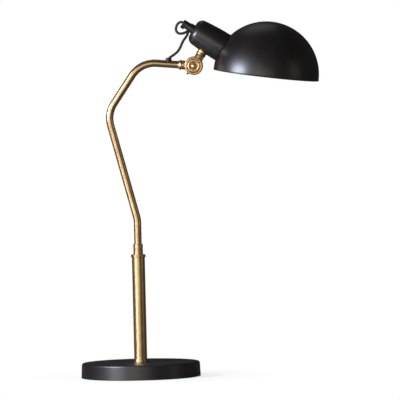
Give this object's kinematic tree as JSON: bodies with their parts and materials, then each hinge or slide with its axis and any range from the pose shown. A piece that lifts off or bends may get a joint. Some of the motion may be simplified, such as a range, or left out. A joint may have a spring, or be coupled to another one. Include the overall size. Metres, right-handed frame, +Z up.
{
  "type": "desk lamp",
  "caption": "Dome shade desk lamp with a round weighted base, brass stem, swivelling bent arm, clamped tilting knuckle and a looped cord.",
  "frame": {"origin": "middle of the base's underside, on the stem's axis, at table level", "axes": "+Z up along the stem, +X from the stem towards the shade, +Y to the lamp's back, away from the knob"},
  "size_m": [0.416, 0.2043, 0.6063],
  "materials": {
    "bronze_paint": "satin powder coat, nearly black with a brown cast",
    "iron": "rough cast",
    "felt": "pressed wool felt",
    "steel": "zinc plated",
    "antique_brass": "antiqued, satin, lacquered",
    "black_rubber": "moulded",
    "black_nylon": "moulded",
    "lead_sheath": "extruded sheath",
    "black_braid": "braided over a round cord",
    "fibre": "pressed fibre",
    "black_steel": "black oxide",
    "phenolic": "moulded phenolic",
    "shade_ring_plastic": "moulded",
    "plain_brass": "drawn",
    "bulb_metal": "rolled",
    "bulb_glass": "opal"
  },
  "bodies": {
    "base": {"base_cover": "bronze_paint", "base_weight": "iron", "base_pad": "felt", "base_washer": "steel", "base_nut": "steel", "inlet_bushing": "black_nylon", "stem_pipe": "steel", "stem_foot_ring": "antique_brass", "stem_tube": "antique_brass", "stem_collar": "antique_brass", "swivel_socket": "antique_brass", "swivel_stop_pin": "steel", "swivel_ring": "antique_brass"},
    "arm": {"swivel_cap": "antique_brass", "swivel_spindle": "antique_brass", "swivel_retainer": "steel", "arm_tube": "antique_brass", "arm_grommet": "black_rubber", "arm_lead": "lead_sheath", "arm_check_ring": "antique_brass", "knuckle_arm_half": "antique_brass", "knuckle_set_screw": "black_steel", "knuckle_washer": "fibre", "knuckle_bolt": "steel", "head_cord": "black_braid"},
    "head": {"knuckle_head_half": "antique_brass", "neck_check_ring": "antique_brass", "neck_ring": "antique_brass", "neck_seat": "antique_brass", "neck_nut": "steel", "neck_nipple": "steel", "housing": "bronze_paint", "cord_grip": "bronze_paint", "grip_screw": "black_steel", "rear_nipple": "steel", "rear_nut": "steel", "holder_cap": "phenolic", "holder_body": "phenolic", "holder_shell": "plain_brass", "holder_contact": "plain_brass", "shade_ring": "shade_ring_plastic", "bulb_cap": "bulb_metal", "bulb_glass": "bulb_glass", "shade": "bronze_paint"},
    "knob": {"knob_washer": "steel", "knuckle_knob": "antique_brass"}
  },
  "joints": [
    {"name": "arm_swivel", "type": "hinge", "parent": "base", "child": "arm", "pos_m": [0, 0, 0.218], "axis": [0, 0, 1], "range_deg": [-165, 165]},
    {"name": "head_tilt", "type": "hinge", "parent": "arm", "child": "head", "pos_m": [0.10212, 0, 0.52786], "axis": [0, 1, 0], "range_deg": [-35, 45], "deforming": ["head_cord"]},
    {"name": "knob_turn", "type": "hinge", "parent": "arm", "child": "knob", "pos_m": [0.10212, 0, 0.52786], "axis": [0, -1, 0], "range_deg": [0, 270]}
  ]
}
